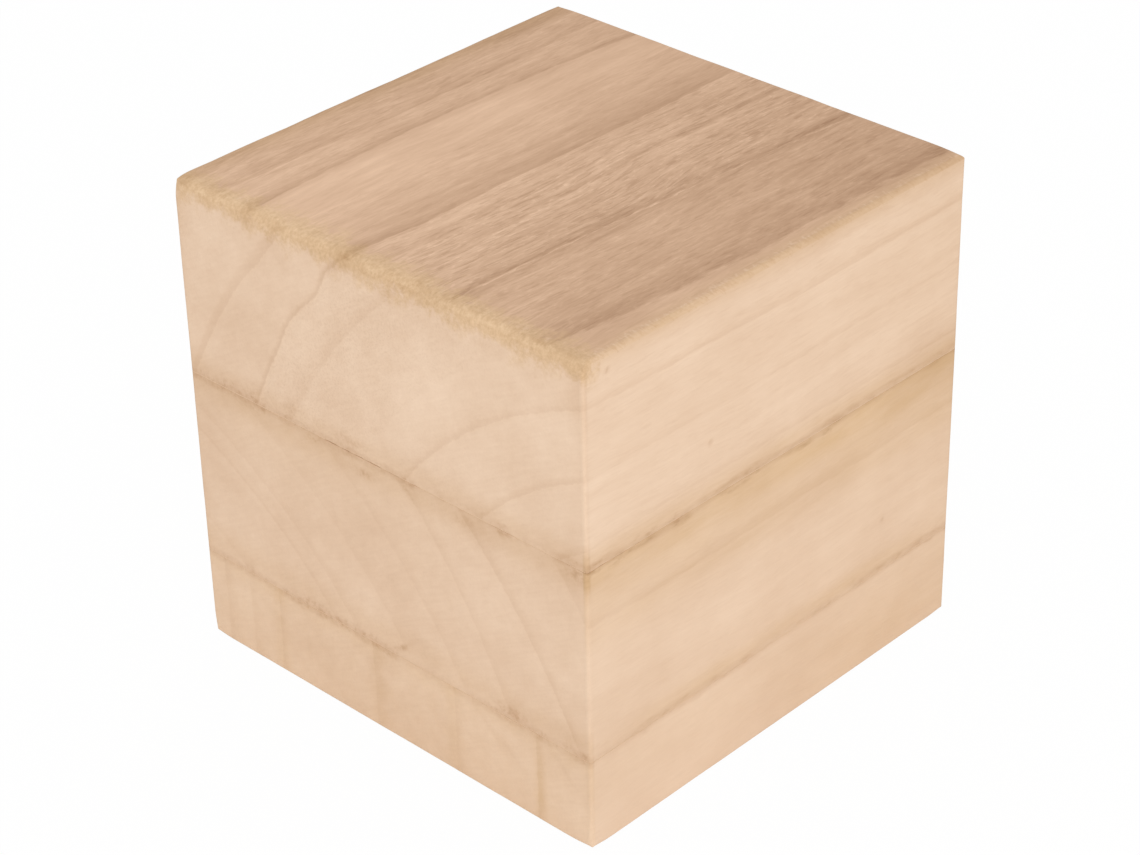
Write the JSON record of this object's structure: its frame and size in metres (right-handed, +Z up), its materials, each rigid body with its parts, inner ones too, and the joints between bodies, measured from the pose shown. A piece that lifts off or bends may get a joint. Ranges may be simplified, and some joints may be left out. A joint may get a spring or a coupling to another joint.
{
  "type": "wooden cube",
  "caption": "Solid cube of pale wooden boards glued face to face, cut square and sanded with eased edges; a plain block to stand on a desk or bench, stack, or rest things on.",
  "frame": {"origin": "middle of the underside, on the surface the cube stands on", "axes": "+Z up, through the stack of boards; +X along the grain, so the end grain shows on the two X faces; +Y across the grain"},
  "size_m": [0.1, 0.1004, 0.0987],
  "materials": {
    "bottom_board_wood": "bare paulownia, quarter-sawn, fine sanded, matte",
    "middle_board_wood": "bare paulownia, rift-sawn, fine sanded, matte",
    "top_board_wood": "bare paulownia, flat-sawn, machine-planed top, sanded sides, matte",
    "cured_glue": "cured wood glue, amber brown, dull"
  },
  "bodies": {
    "root": {"bottom_board": "bottom_board_wood", "lower_glue_film": "cured_glue", "middle_board": "middle_board_wood", "upper_glue_film": "cured_glue", "top_board": "top_board_wood"}
  },
  "joints": []
}
